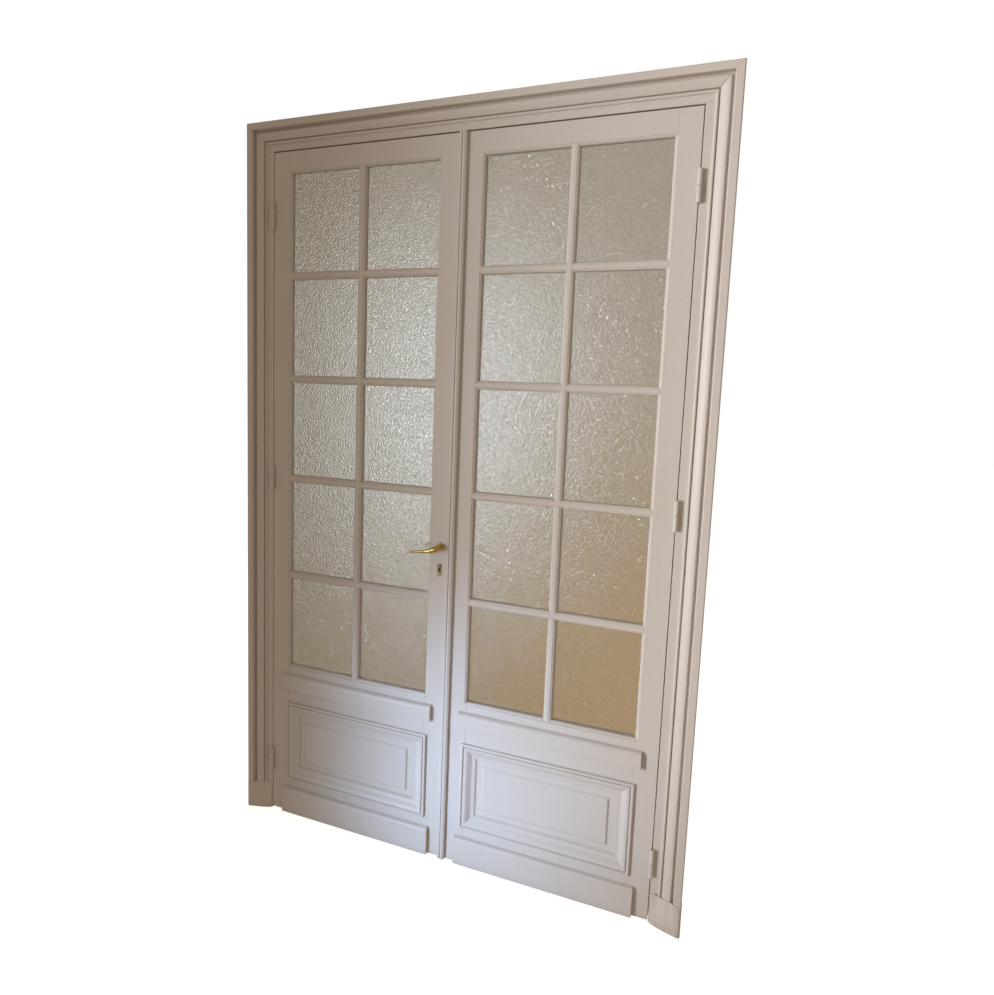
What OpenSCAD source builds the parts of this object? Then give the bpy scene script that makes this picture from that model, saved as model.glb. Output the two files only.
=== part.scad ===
// Pair of glazed interior doors in a moulded frame: two hinged leaves of
// two by five panes over a raised panel, hung on lift-off hinges, with a
// cover moulding on the active leaf, a lever lock and edge bolts.
// X runs across the doorway, Y from front to back, Z up. Millimetres.

/* [Doorway] */
// Clear width between the two jambs
opening_w = 1300; // [1000:1:1700]
// Height of each leaf
leaf_h = 2262; // [1850:1:2800]
// Thickness of the leaves
leaf_t = 40; // [36:0.5:50]
// Gap between a leaf and its jamb
side_gap = 2; // [1.8:0.1:4]
// Gap between the leaves at the front of their meeting edges
meeting_gap = 3; // [2.5:0.1:5]
// How far the meeting edges fall back over the leaf's thickness
meeting_bevel = 1.4; // [1.2:0.1:2]
// Gap over the leaves
top_gap = 4; // [3:0.5:8]
// Gap under the leaves
floor_gap = 6; // [4:0.5:14]

/* [Jambs] */
// Thickness of the jambs and the head
jamb_t = 45; // [36:1:60]
// Depth of the jambs from the front face to the back
jamb_d = 100; // [96:1:200]
// How far the stop stands into the doorway
stop_w = 12; // [9:0.5:18]
// Gap between a closed leaf and its stop
stop_gap = 1; // [0.5:0.1:3]

/* [Architrave] */
// Flat face of the jamb left showing beside the opening
reveal_w = 22; // [16:0.5:34]
// Width of the inner bead
bead_w = 10; // [7:0.5:12]
// Height of the inner bead
bead_p = 6; // [4:0.5:8]
// Width of the swelling band beside the bead
band_w = 23; // [16:0.5:30]
// Height of the band at its outer edge
band_p = 15; // [11:0.5:18]
// Width of the hollow between the band and the outer band
hollow_w = 10; // [7:0.5:14]
// Height of the bottom of the hollow
hollow_p = 8; // [5:0.5:10]
// Width of the raised outer band
outer_band_w = 22; // [16:0.5:30]
// Height of the raised outer band
outer_band_p = 28; // [22:0.5:34]
// Width of the relief in the architrave's back, where the jamb meets the wall
back_relief_w = 6; // [3:0.5:12]
// Depth of that relief
back_relief_d = 1.5; // [0.5:0.1:3]

/* [Plinth blocks] */
// Height of the plinth blocks
plinth_h = 94; // [70:1:140]
// Distance from the opening to the inner edge of the plinth
plinth_inset = 3; // [2:0.5:16]
// Height of the plinth face over the jamb face at its inner edge
plinth_inner_p = 1; // [0.8:0.1:4]
// Height of the plinth face at its outer edge
plinth_p = 30; // [29:0.5:40]
// How far a plinth stands out beside the architrave
plinth_over = 1; // [0.5:0.5:8]
// Radius of the plinth's outer corner
plinth_r = 8; // [4:0.5:12]

/* [Leaf members] */
// Width of the stile with the lock, up to the glass
lock_stile_w = 70; // [68:0.5:100]
// Width of the stile with the hinges, up to the glass
hinge_stile_w = 67; // [62:0.5:100]
// Width of the top rail, down to the glass
top_rail_w = 69; // [55:0.5:110]
// Height of the lowest glass edge over the foot of the leaf
glass_sill_h = 545; // [540:1:700]
// Width of the moulded edge around each pane
moulding_w = 8.5; // [6:0.5:10]
// Width of the flat nose of a glazing bar
nose_w = 9; // [7:0.5:14]
// Depth of the glass behind the face of the leaf
glass_set = 16; // [13:0.5:18]
// Thickness of the glass
glass_t = 4; // [3:0.5:6]
// Panes side by side in a leaf
pane_cols = 2; // [2:1:3]
// Panes above each other in a leaf
pane_rows = 5; // [3:1:7]
// Depth of the glazing beads behind the glass
glazing_bead_d = 12; // [8:0.5:14]

/* [Lower panel] */
// Height of the foot of the panel moulding over the foot of the leaf
panel_z = 123; // [115:1:140]
// Height of the panel moulding
panel_h = 286; // [240:1:290]
// Distance from the edges of the leaf to the panel moulding
panel_side = 58.5; // [54:0.5:62]
// Width of the panel moulding
bolection_w = 50; // [36:0.5:58]
// How far the panel moulding laps onto the leaf
bolection_lap = 12; // [10.5:0.5:14]
// How far the panel moulding stands in front of the leaf
bolection_p = 8; // [5:0.5:12]
// Depth of the panel's margin behind the face of the leaf
panel_set = 10; // [7:0.5:12]
// Thickness of the panel at its margin
panel_t = 14; // [10:0.5:18]
// Margin of the panel that shows around the raised field
panel_margin = 19; // [10:0.5:30]
// Width of the bevel around the raised field
field_bevel = 5; // [3:0.5:10]
// Height of the raised field over the margin
field_p = 5; // [3:0.5:8]
// Depth of the grooves that hold the panel
groove_d = 9; // [6:0.5:12]

/* [Applied boards] */
// Distance from the edges of the leaf to the ends of the boards
board_side = 45; // [30:0.5:60]
// Height of the foot of the middle board over the foot of the leaf
mid_board_z = 459; // [440:1:470]
// Height of the middle board
mid_board_h = 55; // [40:1:62]
// How far the middle board stands in front of the leaf
mid_board_p = 15; // [10:0.5:20]
// Height of the kick plate
kick_h = 94; // [70:1:110]
// How far the kick plate stands in front of the leaf
kick_p = 13; // [9:0.5:18]
// Height of the chamfer on top of the kick plate
kick_chamfer = 14; // [8:0.5:20]

/* [Cover moulding] */
// How far the cover moulding is fixed onto the left leaf
cover_fixed_w = 9; // [4:0.5:12]
// How far the cover moulding reaches over the right leaf
cover_lap_w = 15; // [12:0.5:22]
// How far the cover moulding stands in front of the leaf
cover_p = 13; // [9:0.5:18]
// Gap between the cover moulding and the right leaf
cover_gap = 0.5; // [0.3:0.1:1.5]

/* [Hinges] */
// Height of the bottom hinge's middle over the foot of the leaf
hinge_low_z = 183; // [140:1:260]
// Height of the middle hinge's middle over the foot of the leaf
hinge_mid_z = 1201; // [900:1:1300]
// Distance from the top hinge's middle to the top of the leaf
hinge_top_drop = 198; // [140:1:260]
// Length of a whole knuckle
knuckle_l = 86; // [60:1:110]
// Diameter of the knuckle
knuckle_d = 13; // [12:0.5:16]
// Gap between the knuckle and the face of the jamb
knuckle_clear = 1.5; // [1:0.1:3]
// Diameter of the hinge pin
pin_d = 7; // [6:0.1:8]
// Clearance around the hinge pin
pin_clear = 0.05; // [0.03:0.01:0.08]
// Gap between the two halves of a knuckle
knuckle_gap = 0.5; // [0.3:0.1:1]
// Thickness of the hinge flaps
flap_t = 2.2; // [1.8:0.1:3]
// How far the hinge flaps reach into the doorway's depth
flap_d = 28; // [20:1:34]

/* [Lock] */
// Height of the lever over the foot of the leaf
lever_z = 1033; // [900:1:1150]
// Distance from the lever down to the keyhole
keyhole_drop = 74.5; // [68:0.5:90]
// Distance from the meeting line to the lever and keyhole
backset = 33; // [30:0.5:38]
// Length of the lever from its spindle to its tip
lever_l = 86; // [72:1:130]
// How far the lever stands in front of the leaf
lever_reach = 50; // [44:1:66]
// Diameter of the lever's hub
hub_d = 20; // [16:0.5:24]
// Fall of the first part of the lever, in degrees
neck_fall = 19; // [0:1:25]
// Fall of the grip, in degrees
grip_fall = 8; // [0:1:20]
// How far the lever turns, in degrees
lever_turn = 40; // [25:1:45]
// Side of the square spindle
spindle_w = 8; // [6:0.5:9]
// Diameter of the roses
rose_d = 26; // [22:0.5:36]
// Thickness of the roses
rose_t = 4; // [3:0.5:6]
// Travel of the latch bolt
latch_travel = 11; // [9:0.5:12]
// Travel of the deadbolt
deadbolt_travel = 13; // [10:0.5:16]
// Depth of the lock case behind the faceplate
case_d = 50; // [46:0.5:56]
// Thickness of the lock case
case_t = 16; // [15:0.5:20]
// Height of a keyhole plate
escutcheon_h = 40; // [34:1:60]
// Width of a keyhole plate
escutcheon_w = 13; // [12:0.5:24]

/* [Edge bolts] */
// Diameter of the bolts at the top and foot of the right leaf
edge_bolt_d = 9; // [7:0.5:11]
// Length of the edge bolts
edge_bolt_l = 170; // [120:1:260]
// Travel of the edge bolts
edge_bolt_travel = 12; // [8:0.5:16]
// Thickness of the plates let into the meeting edges
edge_plate_t = 2; // [1.5:0.1:3]
// Width of the plates let into the meeting edges
edge_plate_w = 20; // [18:0.5:24]

/* [Hidden] */
$fn = 48;
LEFT = -1;
RIGHT = 1;

// Running clearance of the sliding bolts, on each side
slide_clear = 0.4;
// Fit between a piece and the pocket that it is let into
fit_gap = 0.5;
// How far a cut runs past the face that it opens
cut_over = 1;

// The four sides of a pane or a panel
FOOT = 0;
TOP = 1;
LOCK_SIDE = 2;
HINGE_SIDE = 3;
ALL_COLS = [0 : pane_cols - 1];
ALL_ROWS = [0 : pane_rows - 1];

// Frame
jamb_x = opening_w / 2;
head_z = floor_gap + leaf_h + top_gap;
stop_y = leaf_t + stop_gap;
bead_x = reveal_w;
band_x = bead_x + bead_w + 1;
hollow_x = band_x + band_w;
outer_band_x = hollow_x + hollow_w;
frame_side_w = outer_band_x + outer_band_w;
frame_top_z = head_z + frame_side_w;
plinth_x = frame_side_w + plinth_over;
plinth_levels = 8;
plinth_steps = 18;

// The leaf's face stands so that the whole depth is centred on Y = 0
face_y = (lever_reach - jamb_d) / 2;

// Leaf
leaf_x0 = meeting_gap / 2;
leaf_x1 = jamb_x - side_gap;
leaf_w = leaf_x1 - leaf_x0;
lock_sight_x = leaf_x0 + lock_stile_w;
hinge_sight_x = leaf_x1 - hinge_stile_w;
sash_x0 = lock_sight_x - moulding_w;
sash_x1 = hinge_sight_x + moulding_w;
sash_z0 = glass_sill_h - moulding_w;
sash_z1 = leaf_h - top_rail_w + moulding_w;
cell_w = (sash_x1 - sash_x0 - (pane_cols - 1) * nose_w) / pane_cols;
cell_h = (sash_z1 - sash_z0 - (pane_rows - 1) * nose_w) / pane_rows;
bar_d = glass_set + glass_t + glazing_bead_d + 2;
glass_edge = 1;

// Lower panel
bolection_width = leaf_w - 2 * panel_side;
bolection_x = leaf_x0 + panel_side;
panel_z0 = panel_z + bolection_lap - fit_gap;
panel_z1 = panel_z + panel_h - bolection_lap + fit_gap;
tongue = groove_d - 1;
// Distance from the panel moulding's outer edge to the raised field
field_inset = bolection_w + panel_margin;
board_w = leaf_w - 2 * board_side;
board_x = leaf_x0 + board_side;

// Hinges
knuckle_r = knuckle_d / 2;
hinge_x = jamb_x - side_gap / 2;
hinge_y = -(knuckle_r + knuckle_clear);
hinge_zs = [hinge_low_z, hinge_mid_z, leaf_h - hinge_top_drop];
knuckle_half = knuckle_l / 2;
pin_rise = knuckle_half - 9;
knuckle_round = 1.5;

// Lock, in the middle of the leaf's thickness
lock_y = leaf_t / 2;
edge_x = leaf_x0 + meeting_bevel;
case_x = edge_x + edge_plate_t;
case_wall = 2;
case_top = lever_z + 40;
case_foot = lever_z - keyhole_drop - 42;
spindle_hole = spindle_w + 0.1;
follower_r = 9;
follower_arm_w = 6;
follower_arm_l = latch_travel / sin(lever_turn);
latch_h = 16;
latch_t = case_t - 2 * case_wall - 2 * slide_clear;
latch_z = lever_z + follower_r + 0.5 * latch_h + 1;
latch_tip_x = edge_x - latch_travel;
latch_body_l = 18;
tail_t = 3;
deadbolt_h = 24;
deadbolt_z = lever_z - keyhole_drop + 6;
deadbolt_l = case_d - case_wall - 4;
strike_front_clear = 4;
strike_deep = 5;
plate_end = 12;
plate_foot = case_foot - plate_end;
plate_top = case_top + plate_end;
hub_neck_d = 14;
grip_d = 11;
grip_tip_d = 9;
neck_l = 0.34 * lever_l;
collar_w = 4;

// Edge bolts
edge_bolt_x = edge_x + edge_plate_t + edge_bolt_d / 2 + 2;
thumb_l = 14;
thumb_w = 5;

// ---- helpers ----

// A smooth rise from 0 at 0 to 1 at 1
function smooth(t) = t * t * (3 - 2 * t);

// Points along an arc about [x, y], from one angle to another
function arc(x, y, r, from, to, steps = 6) =
    [for (i = [0 : steps]) let (a = from + (to - from) * i / steps)
        [x + r * cos(a), y + r * sin(a)]];

// Section points given as [across, forward] turned into [across, Y]
function forward(points) = [for (p = points) [p[0], -p[1]]];

// The same points as [Y, across], for a length that runs along X
function forward_yz(points) = [for (p = points) [-p[1], p[0]]];

// Puts a piece drawn for the right half of the doorway on its side
module on_side(side) translate([0, face_y, 0]) mirror([side < 0 ? 1 : 0, 0, 0]) children();

// The same for a piece of a leaf, with Z from the foot of the leaf
module on_leaf(side) on_side(side) translate([0, 0, floor_gap]) children();

// A box given by its two corners
module block(a, b) translate(a) cube(b - a);

// A closed solid through rings of points, one over the other, each with as many points
module stack(rings) {
    n = len(rings[0]);
    last = len(rings) - 1;
    polyhedron(
        points = [for (ring = rings) each ring],
        faces = concat(
            [[for (i = [0 : n - 1]) i]],
            [for (k = [0 : last - 1], i = [0 : n - 1]) let (j = (i + 1) % n)
                each [[k * n + i, (k + 1) * n + i, k * n + j], [k * n + j, (k + 1) * n + i, (k + 1) * n + j]]],
            [[for (i = [n - 1 : -1 : 0]) last * n + i]]));
}

// Draws a section [Y, Z] along X over a length
module run_x(length, section)
    rotate([90, 0, 90]) linear_extrude(length) polygon(section);

// A length of moulding along X, mitred at both ends towards +Z
module mitred_run(length, width, section) {
    deep = 4 * leaf_t;
    intersection() {
        run_x(length, section);
        translate([0, deep / 2, 0]) rotate([90, 0, 0]) linear_extrude(deep)
            polygon([[0, 0], [length, 0], [length - width, width], [width, width]]);
    }
}

// One side of a mitred ring around a w by h opening whose corner is at [0, 0]
module ring_run(which, w, h, width, section) {
    upright = which >= LOCK_SIDE;
    translate([which == HINGE_SIDE ? w : 0, 0, which == TOP ? h : 0])
        mirror([which == HINGE_SIDE ? 1 : 0, 0, which == TOP ? 1 : 0])
            mirror(upright ? [1, 0, -1] : [0, 0, 0])
                mitred_run(upright ? h : w, width, section);
}

// ---- frame ----

// Section of the jamb with its stop, across from the opening
function jamb_section() = [
    [0, 0], [jamb_t, 0], [jamb_t, jamb_d], [-stop_w, jamb_d],
    [-stop_w, stop_y], [0, stop_y]
];

// Section of the architrave as [across, forward] from the opening
function architrave_section() = concat(
    [[bead_x, 0], [bead_x, 1]],
    arc(bead_x + bead_w / 2, bead_p - bead_w / 2, bead_w / 2, 170, 20, 8),
    [[band_x - 1, 1.5], [band_x, 1.5]],
    [for (i = [0 : 8]) let (t = i / 8)
        [band_x + band_w * t, bead_p + (band_p - bead_p) * sin(90 * t)]],
    arc(hollow_x + hollow_w, band_p - 1, hollow_w - 1.5, 178, 240, 5),
    [[outer_band_x - 1.5, hollow_p], [outer_band_x, hollow_p]],
    arc(outer_band_x + 2, outer_band_p - 2, 2, 180, 90, 4),
    arc(outer_band_x + outer_band_w - 4, outer_band_p - 4, 4, 90, 0, 5),
    [[frame_side_w, 0], [jamb_t + back_relief_w, 0], [jamb_t + back_relief_w, back_relief_d],
     [jamb_t, back_relief_d], [jamb_t, 0]]
);

// A large wedge over the line that runs up and out from the opening's corner
module above_mitre() {
    reach = frame_side_w + 40;
    translate([jamb_x, jamb_d / 2, head_z]) rotate([90, 0, 0]) linear_extrude(2 * jamb_d)
        polygon([[-40, -40], [reach, reach], [-40, reach]]);
}

module jamb(side) color("antiquewhite") on_side(side) difference() {
    translate([jamb_x, 0, 0]) linear_extrude(head_z) polygon(jamb_section());
    for (z = hinge_zs) translate([jamb_x, 0, floor_gap + z])
        block([-cut_over, -cut_over, -knuckle_half],
              [flap_t, flap_d, -knuckle_gap / 2]);
}

module head_jamb() color("antiquewhite") on_side(RIGHT) difference() {
    union() {
        block([-jamb_x - jamb_t, 0, head_z], [jamb_x + jamb_t, jamb_d, head_z + jamb_t]);
        block([-jamb_x + stop_w, stop_y, head_z - stop_w],
              [jamb_x - stop_w, jamb_d, head_z + cut_over]);
    }
    translate([edge_bolt_x, lock_y, head_z]) keeper_cut();
}

// Room for the keeper of the top bolt and for the bolt above it
module keeper_cut() {
    block([-15, -10, -cut_over], [15, 10, edge_plate_t]);
    cylinder(d = edge_bolt_d + 2, h = edge_bolt_travel + 6);
}

module head_keeper() color("darkkhaki") on_side(RIGHT)
    translate([edge_bolt_x, lock_y, head_z]) difference() {
        block([-15, -10, 0], [15, 10, edge_plate_t]);
        translate([0, 0, -cut_over]) cylinder(d = edge_bolt_d + 1.6, h = 3 * edge_plate_t);
    }

module architrave(side) color("ivory") on_side(side) difference() {
    translate([jamb_x, 0, plinth_h])
        linear_extrude(frame_top_z - plinth_h) polygon(forward(architrave_section()));
    above_mitre();
}

module architrave_head() color("ivory") on_side(RIGHT) intersection() {
    translate([-jamb_x - frame_side_w, 0, head_z])
        run_x(opening_w + 2 * frame_side_w, forward_yz(architrave_section()));
    union() {
        above_mitre();
        mirror([1, 0, 0]) above_mitre();
        block([-jamb_x + 39, -jamb_d, head_z], [jamb_x - 39, jamb_d, frame_top_z + 40]);
    }
}

// How far a plinth stands forward at its top, just over the architrave's face
function plinth_top_p(x) = plinth_inner_p + (
    x < bead_x ? 0 :
    x < hollow_x ? band_p * sin(90 * (x - bead_x) / (hollow_x - bead_x)) :
    x < outer_band_x ? band_p + (plinth_p - band_p) * smooth((x - hollow_x) / hollow_w) - plinth_inner_p :
    plinth_p - plinth_inner_p);

// How far it stands forward at its foot
function plinth_foot_p(x) =
    let (t = (x - plinth_inset) / (plinth_x - plinth_r - plinth_inset))
    plinth_inner_p + (plinth_p - plinth_inner_p) * pow(t, 0.65);

// Outline of a plinth block at a height, as points [X, Y, Z]
function plinth_ring(z) =
    let (flare = smooth(1 - z / plinth_h), x1 = plinth_x - plinth_r) concat(
    [[plinth_inset, 0, z]],
    [for (i = [0 : plinth_steps]) let (x = plinth_inset + (x1 - plinth_inset) * i / plinth_steps)
        [x, -plinth_top_p(x) * (1 - flare) - plinth_foot_p(x) * flare, z]],
    [for (p = arc(x1, plinth_p - plinth_r, plinth_r, 75, 0, 5)) [p[0], -p[1], z]],
    [[plinth_x, 0, z]]
);

module plinth_block(side) color("ivory") on_side(side) translate([jamb_x, 0, 0])
    stack([for (i = [0 : plinth_levels]) plinth_ring(plinth_h * i / plinth_levels)]);

// ---- hinges ----

module knuckle(from, to) translate([hinge_x, hinge_y, from]) {
    r = knuckle_r;
    rotate_extrude() polygon([
        [0, 0], [r - knuckle_round, 0], [r, knuckle_round],
        [r, to - from - knuckle_round], [r - knuckle_round, to - from], [0, to - from]
    ]);
}

module hinge_frame_halves(side) color("white") on_leaf(side)
    for (z = hinge_zs) translate([0, 0, z]) {
        knuckle(-knuckle_half, -knuckle_gap / 2);
        block([jamb_x, hinge_y, -knuckle_half], [jamb_x + flap_t, flap_d, -knuckle_gap / 2]);
        translate([hinge_x, hinge_y, -knuckle_half + 4])
            cylinder(d = pin_d, h = knuckle_half - 4 + pin_rise);
    }

module hinge_leaf_halves(side) color("white") on_leaf(side)
    for (z = hinge_zs) translate([0, 0, z]) difference() {
        union() {
            knuckle(knuckle_gap / 2, knuckle_half);
            block([leaf_x1 - flap_t, hinge_y, knuckle_gap / 2], [leaf_x1, flap_d, knuckle_half]);
        }
        translate([hinge_x, hinge_y, 0])
            cylinder(d = pin_d + 2 * pin_clear, h = pin_rise + 2);
    }

// ---- leaf members ----

// Section [Y, Z] of the moulded edge around a pane, Z towards the glass
function moulding_section() = concat(
    [[glass_set, 0], [0, 0], [0, 0.6], [1.2, 0.6]],
    [for (i = [0 : 6]) let (t = 90 * i / 6)
        [1.2 + 8 * (1 - cos(t)), 0.6 + (moulding_w - 0.6) * sin(t)]],
    [[glass_set, moulding_w]]
);

// Section [Y, Z] of a bead that holds the glass from behind
function glazing_bead_section() = let (y = glass_set + glass_t, w = moulding_w - 0.5) [
    [y, 0], [y, w], [y + 3, w], [y + glazing_bead_d, 3], [y + glazing_bead_d, 0]
];

// Places its children in a pane's cell
module in_cell(col, row)
    translate([sash_x0 + col * (cell_w + nose_w), 0, sash_z0 + row * (cell_h + nose_w)])
        children();

// The moulded edges on one side of the cells in some columns and rows
module cell_edges(which, cols, rows)
    for (col = cols, row = rows) in_cell(col, row)
        ring_run(which, cell_w, cell_h, moulding_w, moulding_section());

// Groove for the panel's tongue, around the panel opening
module panel_groove() block(
    [lock_sight_x - groove_d, panel_set, panel_z0 - groove_d],
    [hinge_sight_x + groove_d, panel_set + panel_t, panel_z1 + groove_d]);

module hinge_stile(side) color("ivory") on_leaf(side) difference() {
    union() {
        block([sash_x1, 0, 0], [leaf_x1, leaf_t, leaf_h]);
        block([hinge_sight_x, 0, 0], [sash_x1 + cut_over, leaf_t, sash_z0]);
        cell_edges(HINGE_SIDE, [pane_cols - 1], ALL_ROWS);
    }
    panel_groove();
    for (z = hinge_zs) translate([leaf_x1, 0, z])
        block([-flap_t, -cut_over, knuckle_gap / 2], [cut_over, flap_d, knuckle_half]);
}

// Plan of the bevelled meeting edge, out to a given distance
module lock_stile_body(x, height) linear_extrude(height)
    polygon([[leaf_x0, 0], [x, 0], [x, leaf_t], [edge_x, leaf_t]]);

module lock_stile(side) color("ivory") on_leaf(side) difference() {
    union() {
        lock_stile_body(sash_x0, leaf_h);
        lock_stile_body(lock_sight_x, sash_z0);
        cell_edges(LOCK_SIDE, [0], ALL_ROWS);
    }
    panel_groove();
    if (side < 0) lock_pockets(); else bolt_pockets();
}

module top_rail(side) color("ivory") on_leaf(side) union() {
    block([sash_x0, 0, sash_z1], [sash_x1, leaf_t, leaf_h]);
    cell_edges(TOP, ALL_COLS, [pane_rows - 1]);
}

module mid_rail(side) color("ivory") on_leaf(side) difference() {
    union() {
        block([lock_sight_x, 0, panel_z1], [hinge_sight_x, leaf_t, sash_z0]);
        cell_edges(FOOT, ALL_COLS, [0]);
    }
    panel_groove();
}

module bottom_rail(side) color("ivory") on_leaf(side) difference() {
    block([lock_sight_x, 0, 0], [hinge_sight_x, leaf_t, panel_z0]);
    panel_groove();
}

module upright_bars(side) color("ivory") on_leaf(side) union()
    for (col = [1 : pane_cols - 1]) {
        translate([sash_x0 + col * (cell_w + nose_w) - nose_w, 0, 0])
            block([0, 0, sash_z0], [nose_w, bar_d, sash_z1]);
        cell_edges(LOCK_SIDE, [col], ALL_ROWS);
        cell_edges(HINGE_SIDE, [col - 1], ALL_ROWS);
    }

module cross_bars(side) color("ivory") on_leaf(side) union()
    for (row = [1 : pane_rows - 1]) {
        for (col = ALL_COLS) in_cell(col, row)
            block([0, 0, -nose_w], [cell_w, bar_d, 0]);
        cell_edges(FOOT, ALL_COLS, [row]);
        cell_edges(TOP, ALL_COLS, [row - 1]);
    }

// Panes of some columns; each rests against the moulded edges
module panes(side, cols) color("lightcyan") on_leaf(side)
    for (col = cols, row = ALL_ROWS) in_cell(col, row)
        block([glass_edge, glass_set, glass_edge],
              [cell_w - glass_edge, glass_set + glass_t, cell_h - glass_edge]);

module glazing_beads(side) color("ivory") on_leaf(side)
    for (col = ALL_COLS, row = ALL_ROWS) in_cell(col, row) union()
        for (which = [FOOT, TOP, LOCK_SIDE, HINGE_SIDE])
            ring_run(which, cell_w, cell_h, moulding_w - 0.5, glazing_bead_section());

// ---- lower panel and applied boards ----

module lower_panel(side) color("ivory") on_leaf(side) {
    x0 = bolection_x + field_inset;
    z0 = panel_z + field_inset;
    x1 = bolection_x + bolection_width - field_inset;
    z1 = panel_z + panel_h - field_inset;
    foot = panel_set + cut_over;
    top_y = panel_set - field_p;
    slope = field_bevel / field_p;
    union() {
        block([lock_sight_x - tongue, panel_set, panel_z0 - tongue],
              [hinge_sight_x + tongue, panel_set + panel_t, panel_z1 + tongue]);
        intersection() {
            translate([x0, 0, 0]) run_x(x1 - x0, [
                [foot, z0], [panel_set, z0], [top_y, z0 + field_bevel],
                [top_y, z1 - field_bevel], [panel_set, z1], [foot, z1]]);
            translate([0, 0, z0]) linear_extrude(z1 - z0) polygon([
                [x0, foot], [x0, panel_set], [x0 + field_bevel, top_y],
                [x1 - field_bevel, top_y], [x1, panel_set], [x1, foot]]);
        }
    }
}

// Section [Y, Z] of the panel moulding, Z inwards from its outer edge
function bolection_section() = let (p = bolection_p, w = bolection_w) concat(
    [[0, 0], [-p + 3.5, 0]],
    arc(-p + 3.5, 4.5, 4.5, 270, 110, 8) ,
    [[-p + 3.2, 9.6], [-p + 3.2, 11.5], [-p + 0.5, 11.5], [-p + 0.5, 14]],
    [for (i = [1 : 12]) let (t = i / 12)
        [-p + 0.5 + (panel_set + p - 5) * (1 - cos(180 * t)) / 2, 14 + (w - 22) * t]],
    [[panel_set - 4.5, w - 5], [panel_set - 3, w - 5]],
    arc(panel_set - 1, w - 3, 2.5, 215, 90, 5),
    [[panel_set, w - 0.5], [panel_set, bolection_lap], [0, bolection_lap]]
);

module panel_moulding(side) color("ivory") on_leaf(side)
    translate([bolection_x, 0, panel_z])
        for (which = [FOOT, TOP, LOCK_SIDE, HINGE_SIDE])
            ring_run(which, bolection_width, panel_h, bolection_w, bolection_section());

module mid_board(side) color("ivory") on_leaf(side) translate([board_x, 0, mid_board_z])
    run_x(board_w, concat(
        [[0, 0], [-mid_board_p + 1.5, 0], [-mid_board_p, 1.5]],
        [for (i = [0 : 8]) let (t = 90 * i / 8)
            [-2 - (mid_board_p - 2) * cos(t), mid_board_h - 18 + 16 * sin(t)]],
        [[-2, mid_board_h], [0, mid_board_h]]
    ));

module kick_plate(side) color("ivory") on_leaf(side) translate([board_x, 0, 0])
    run_x(board_w, concat(
        [[0, 0], [-kick_p, 0]],
        [for (i = [0 : 6]) let (t = 90 * i / 6)
            [-2.5 - (kick_p - 2.5) * cos(t), kick_h - kick_chamfer + (kick_chamfer - 2) * sin(t)]],
        [[-2.5, kick_h], [0, kick_h]]
    ));

// Cover moulding over the meeting line: flat, hollow and bead, fixed to the left leaf
module cover_moulding() color("ivory") on_leaf(LEFT) {
    a = cover_fixed_w;
    b = -cover_lap_w;
    p = cover_p;
    linear_extrude(leaf_h) polygon(forward(concat(
        [[a, 0], [a, p - 5]],
        arc(a - 3, p - 5, 3, 0, 90, 4),
        [[a - 9.5, p - 2], [a - 9.5, p - 4.5], [a - 11, p - 4.5], [a - 11, p - 1]],
        arc(a - 16, p - 6, 6, 60, 115, 5),
        [[b + 1.5, p - 2.5], [b, p - 4], [b, cover_gap], [leaf_x0, cover_gap], [leaf_x0, 0]]
    )));
}

// ---- lock ----

// The cavity between the walls of the lock case
module case_inside() block(
    [case_x - cut_over, lock_y - case_t / 2 + case_wall, case_foot + case_wall],
    [case_x + case_d - case_wall, lock_y + case_t / 2 - case_wall, case_top - case_wall]);

// A bore through the leaf at a height on the lock's centre line
module across_lock(z, d) translate([backset, -2 * leaf_t, z]) rotate([-90, 0, 0])
    cylinder(d = d, h = 5 * leaf_t);

// Openings in a meeting edge for the latch and the deadbolt
module bolt_ways(from, to, clear) {
    block([from, lock_y - latch_t / 2 - clear, latch_z - latch_h / 2 - clear],
          [to, lock_y + latch_t / 2 + clear, latch_z + latch_h / 2 + clear]);
    block([from, lock_y - latch_t / 2 - clear, deadbolt_z - deadbolt_h / 2 - clear],
          [to, lock_y + latch_t / 2 + clear, deadbolt_z + deadbolt_h / 2 + clear]);
}

// Everything cut from the left leaf's lock stile
module lock_pockets() {
    block([case_x - 0.01, lock_y - case_t / 2, case_foot],
          [case_x + case_d, lock_y + case_t / 2, case_top]);
    block([0, lock_y - edge_plate_w / 2, plate_foot],
          [case_x, lock_y + edge_plate_w / 2, plate_top]);
    across_lock(lever_z, hub_neck_d + 3);
    keyhole_cut();
}

// Keyhole through the leaf: a round eye over a slot
module keyhole_cut() {
    z = lever_z - keyhole_drop;
    across_lock(z + 3, 7);
    block([backset - 1.6, -2 * leaf_t, z - 9], [backset + 1.6, 3 * leaf_t, z + 3]);
}

module lock_case() color("dimgray") on_leaf(LEFT) difference() {
    block([case_x, lock_y - case_t / 2, case_foot],
          [case_x + case_d, lock_y + case_t / 2, case_top]);
    case_inside();
    across_lock(lever_z, hub_neck_d + 3);
    keyhole_cut();
}

module lock_faceplate() color("darkgoldenrod") on_leaf(LEFT) difference() {
    block([edge_x, lock_y - edge_plate_w / 2, plate_foot],
          [case_x, lock_y + edge_plate_w / 2, plate_top]);
    bolt_ways(edge_x - cut_over, case_x + cut_over, slide_clear);
}

module lock_follower() color("gray") on_leaf(LEFT) translate([backset, lock_y, lever_z]) {
    t = latch_t - 1;
    difference() {
        union() {
            rotate([90, 0, 0]) cylinder(r = follower_r, h = t, center = true);
            block([-follower_arm_w / 2, -t / 2, 0], [follower_arm_w / 2, t / 2, follower_arm_l]);
        }
        cube([spindle_hole, 3 * t, spindle_hole], center = true);
    }
}

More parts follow.
